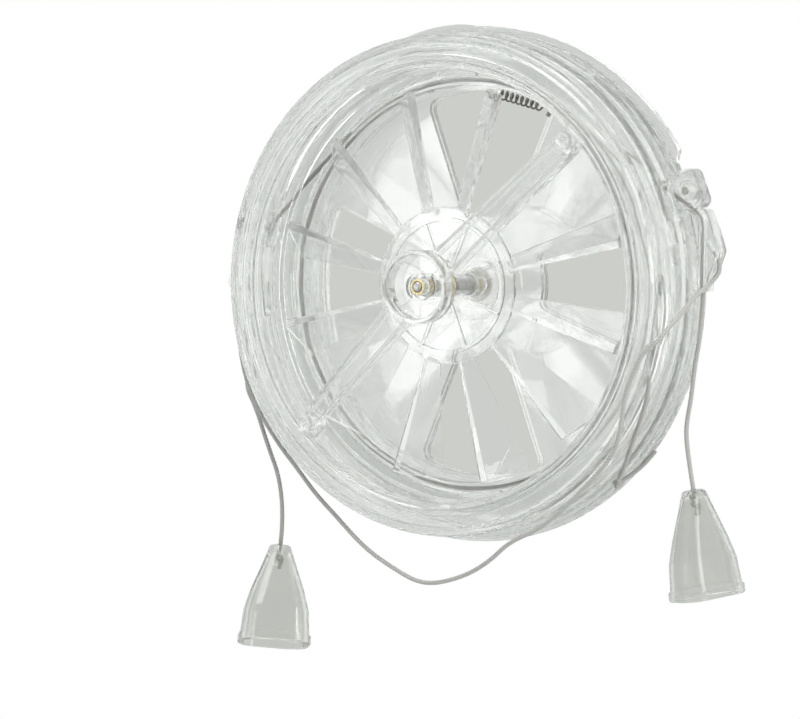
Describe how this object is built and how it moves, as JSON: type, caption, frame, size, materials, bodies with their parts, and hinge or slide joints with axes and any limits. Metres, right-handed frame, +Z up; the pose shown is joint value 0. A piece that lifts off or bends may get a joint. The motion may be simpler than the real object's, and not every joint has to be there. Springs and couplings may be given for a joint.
{
  "type": "window ventilator",
  "caption": "Clear round wind-driven window ventilator: vaned wheel on a bridge, sector shutter turned by two pull cords, clamped in a pane.",
  "frame": {"origin": "on the fan's axis, in the room-side face of the pane that it is clamped in", "axes": "+X to the right and +Z up for someone in the room, +Y along the fan's axis to the outdoors"},
  "size_m": [0.2192, 0.0573, 0.2407],
  "materials": {
    "clear_plastic": "clear moulded polystyrene, high gloss",
    "brass": "turned, slightly dull",
    "steel": "drawn wire and bar",
    "cord": "twisted nylon",
    "gasket": "translucent soft seal",
    "washer": "natural nylon"
  },
  "bodies": {
    "frame": {"front_ring": "clear_plastic", "housing": "clear_plastic", "outer_grille": "clear_plastic", "inner_gasket": "gasket", "outer_gasket": "gasket", "bridge": "clear_plastic", "bridge_pegs": "clear_plastic", "front_bush": "brass", "rear_bush": "brass", "shutter_clip": "steel", "left_wheel_pin": "steel", "right_wheel_pin": "steel", "left_lead_cord": "cord", "right_lead_cord": "cord", "left_hanging_cord": "cord", "right_hanging_cord": "cord", "slack_cord": "cord", "anchor_cord": "cord", "anchor_tail": "cord", "anchor_knot": "cord"},
    "impeller": {"impeller": "clear_plastic", "spindle": "steel", "front_washer": "washer", "rear_washer": "washer"},
    "shutter": {"shutter": "clear_plastic", "drum_cord": "cord", "spring_cord": "cord", "tension_spring": "steel"},
    "left_pull": {"left_pull": "clear_plastic", "left_knot": "cord"},
    "right_pull": {"right_pull": "clear_plastic", "right_knot": "cord"},
    "left_wheel": {"left_guide_wheel": "clear_plastic"},
    "right_wheel": {"right_guide_wheel": "clear_plastic"}
  },
  "joints": [
    {"name": "impeller_spin", "type": "hinge", "parent": "frame", "child": "impeller", "pos_m": [0, 0, 0], "axis": [0, 1, 0], "continuous": true},
    {"name": "shutter_turn", "type": "hinge", "parent": "frame", "child": "shutter", "pos_m": [0, 0, 0], "axis": [0, -1, 0], "range_deg": [0, 45]},
    {"name": "left_pull_slide", "type": "slide", "parent": "frame", "child": "left_pull", "axis": [0, 0, -1], "range_m": [0, 0.062], "deforming": ["left_hanging_cord"]},
    {"name": "right_pull_slide", "type": "slide", "parent": "frame", "child": "right_pull", "axis": [0.11, 0, 0.9939], "range_m": [0, 0.062], "deforming": ["right_hanging_cord"]},
    {"name": "left_wheel_spin", "type": "hinge", "parent": "frame", "child": "left_wheel", "pos_m": [-0.09758, -0.007, 0.02954], "axis": [0, -1, 0], "range_deg": [-786, 0]},
    {"name": "right_wheel_spin", "type": "hinge", "parent": "frame", "child": "right_wheel", "pos_m": [0.09758, -0.007, 0.02954], "axis": [0, -1, 0], "range_deg": [-786, 0]}
  ],
  "couplings": [
    {"joint": "left_pull_slide", "follows": "shutter_turn", "m_per_rad": 0.0786},
    {"joint": "right_pull_slide", "follows": "shutter_turn", "m_per_rad": 0.0786},
    {"joint": "left_wheel_spin", "follows": "shutter_turn", "ratio": -17.467},
    {"joint": "right_wheel_spin", "follows": "shutter_turn", "ratio": -17.467}
  ]
}
